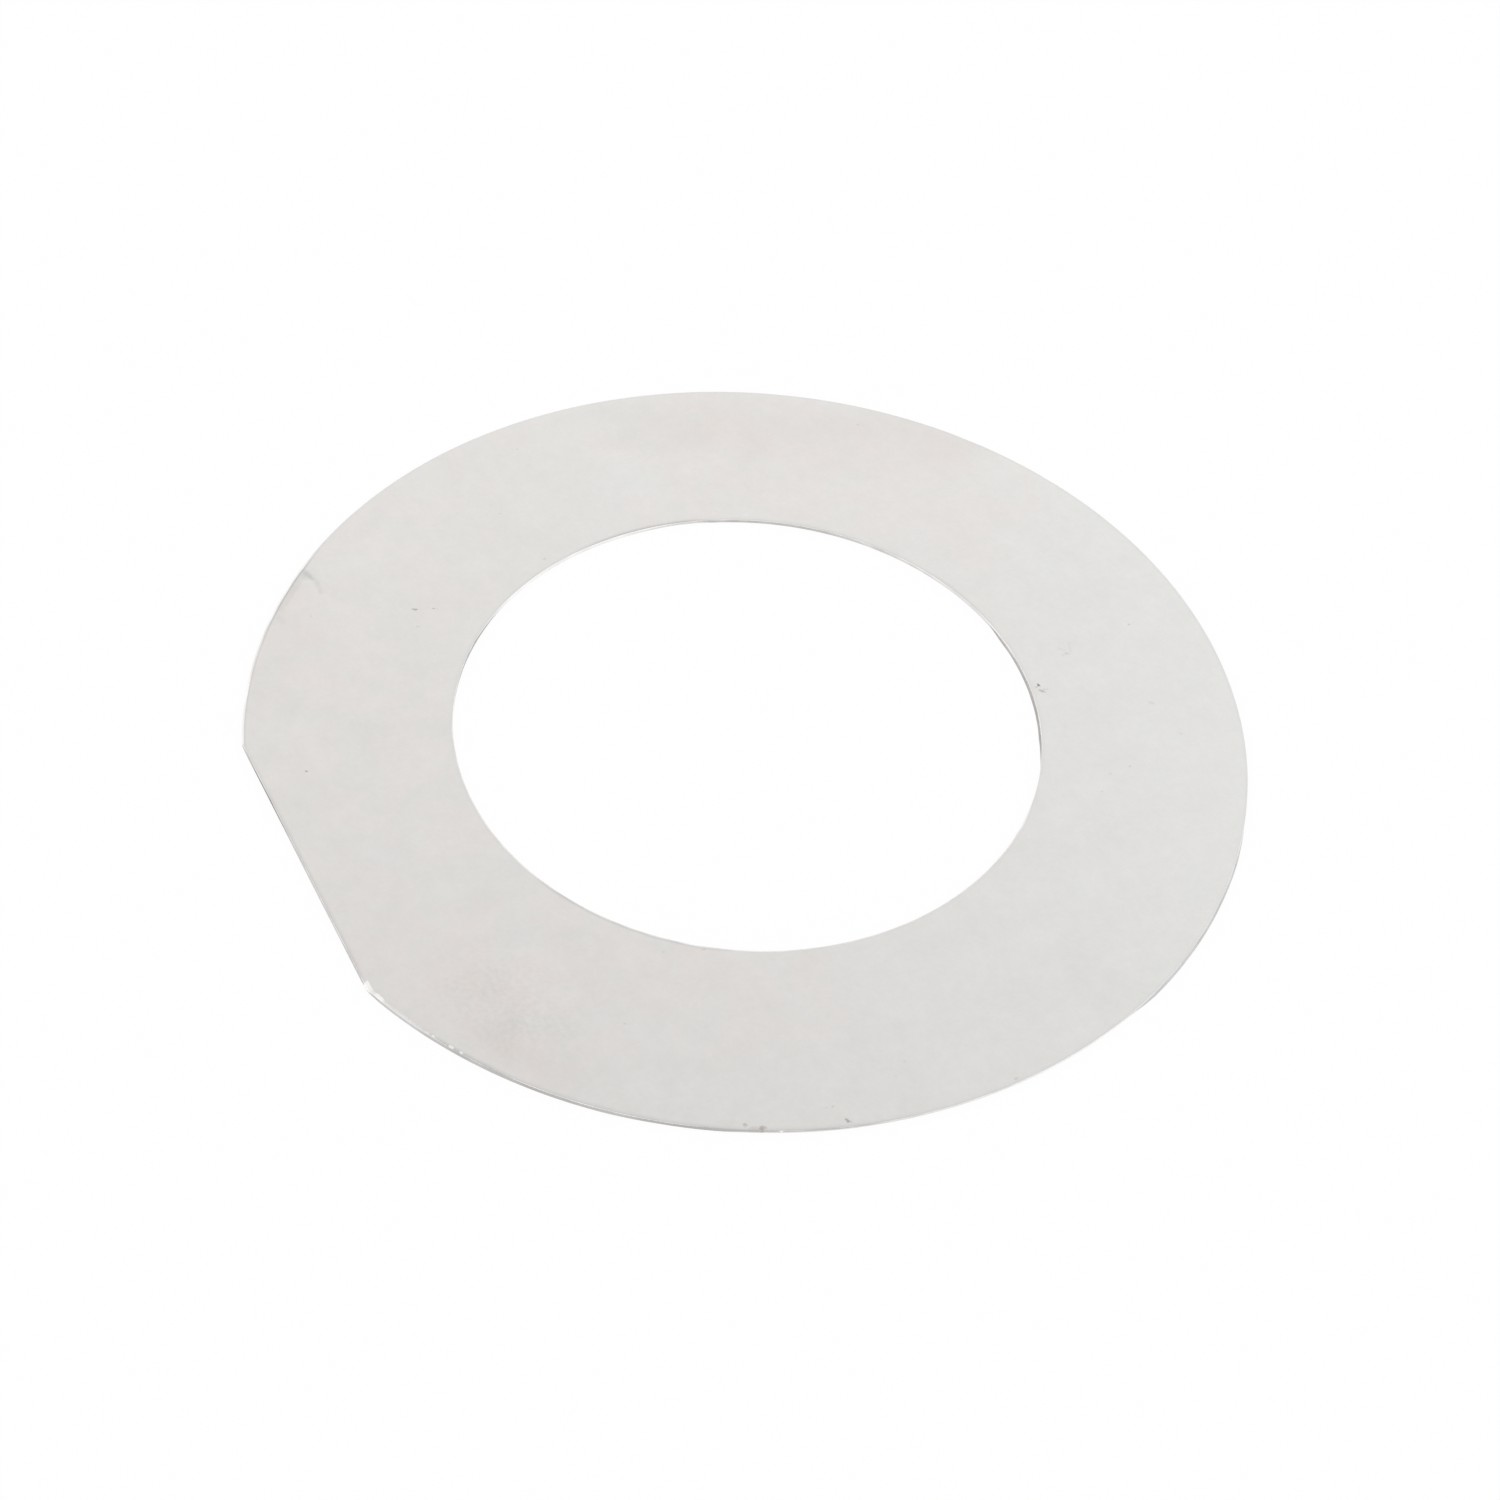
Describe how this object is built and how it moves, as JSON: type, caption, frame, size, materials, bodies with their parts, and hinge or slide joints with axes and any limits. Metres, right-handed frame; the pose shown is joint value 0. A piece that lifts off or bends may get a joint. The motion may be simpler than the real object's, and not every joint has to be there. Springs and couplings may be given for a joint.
{
  "type": "shim ring",
  "caption": "Thin flat steel shim ring with a plain round bore and a flat cut across one side of its rim, punched from sheet, for taking up end play on a shaft.",
  "frame": {"origin": "on the bore's axis, in the plane of the lower face, which the ring lies on", "axes": "+Z along the bore's axis, up out of the upper face; the flat on the rim looks along -Y; +X along the flat"},
  "size_m": [0.12, 0.1166, 0.0005],
  "materials": {
    "steel": "pale satin mill finish of cold rolled strip, with faint cloudy mottling, fine pits and a few light scuffs"
  },
  "bodies": {
    "root": {"shim_ring": "steel"}
  },
  "joints": []
}
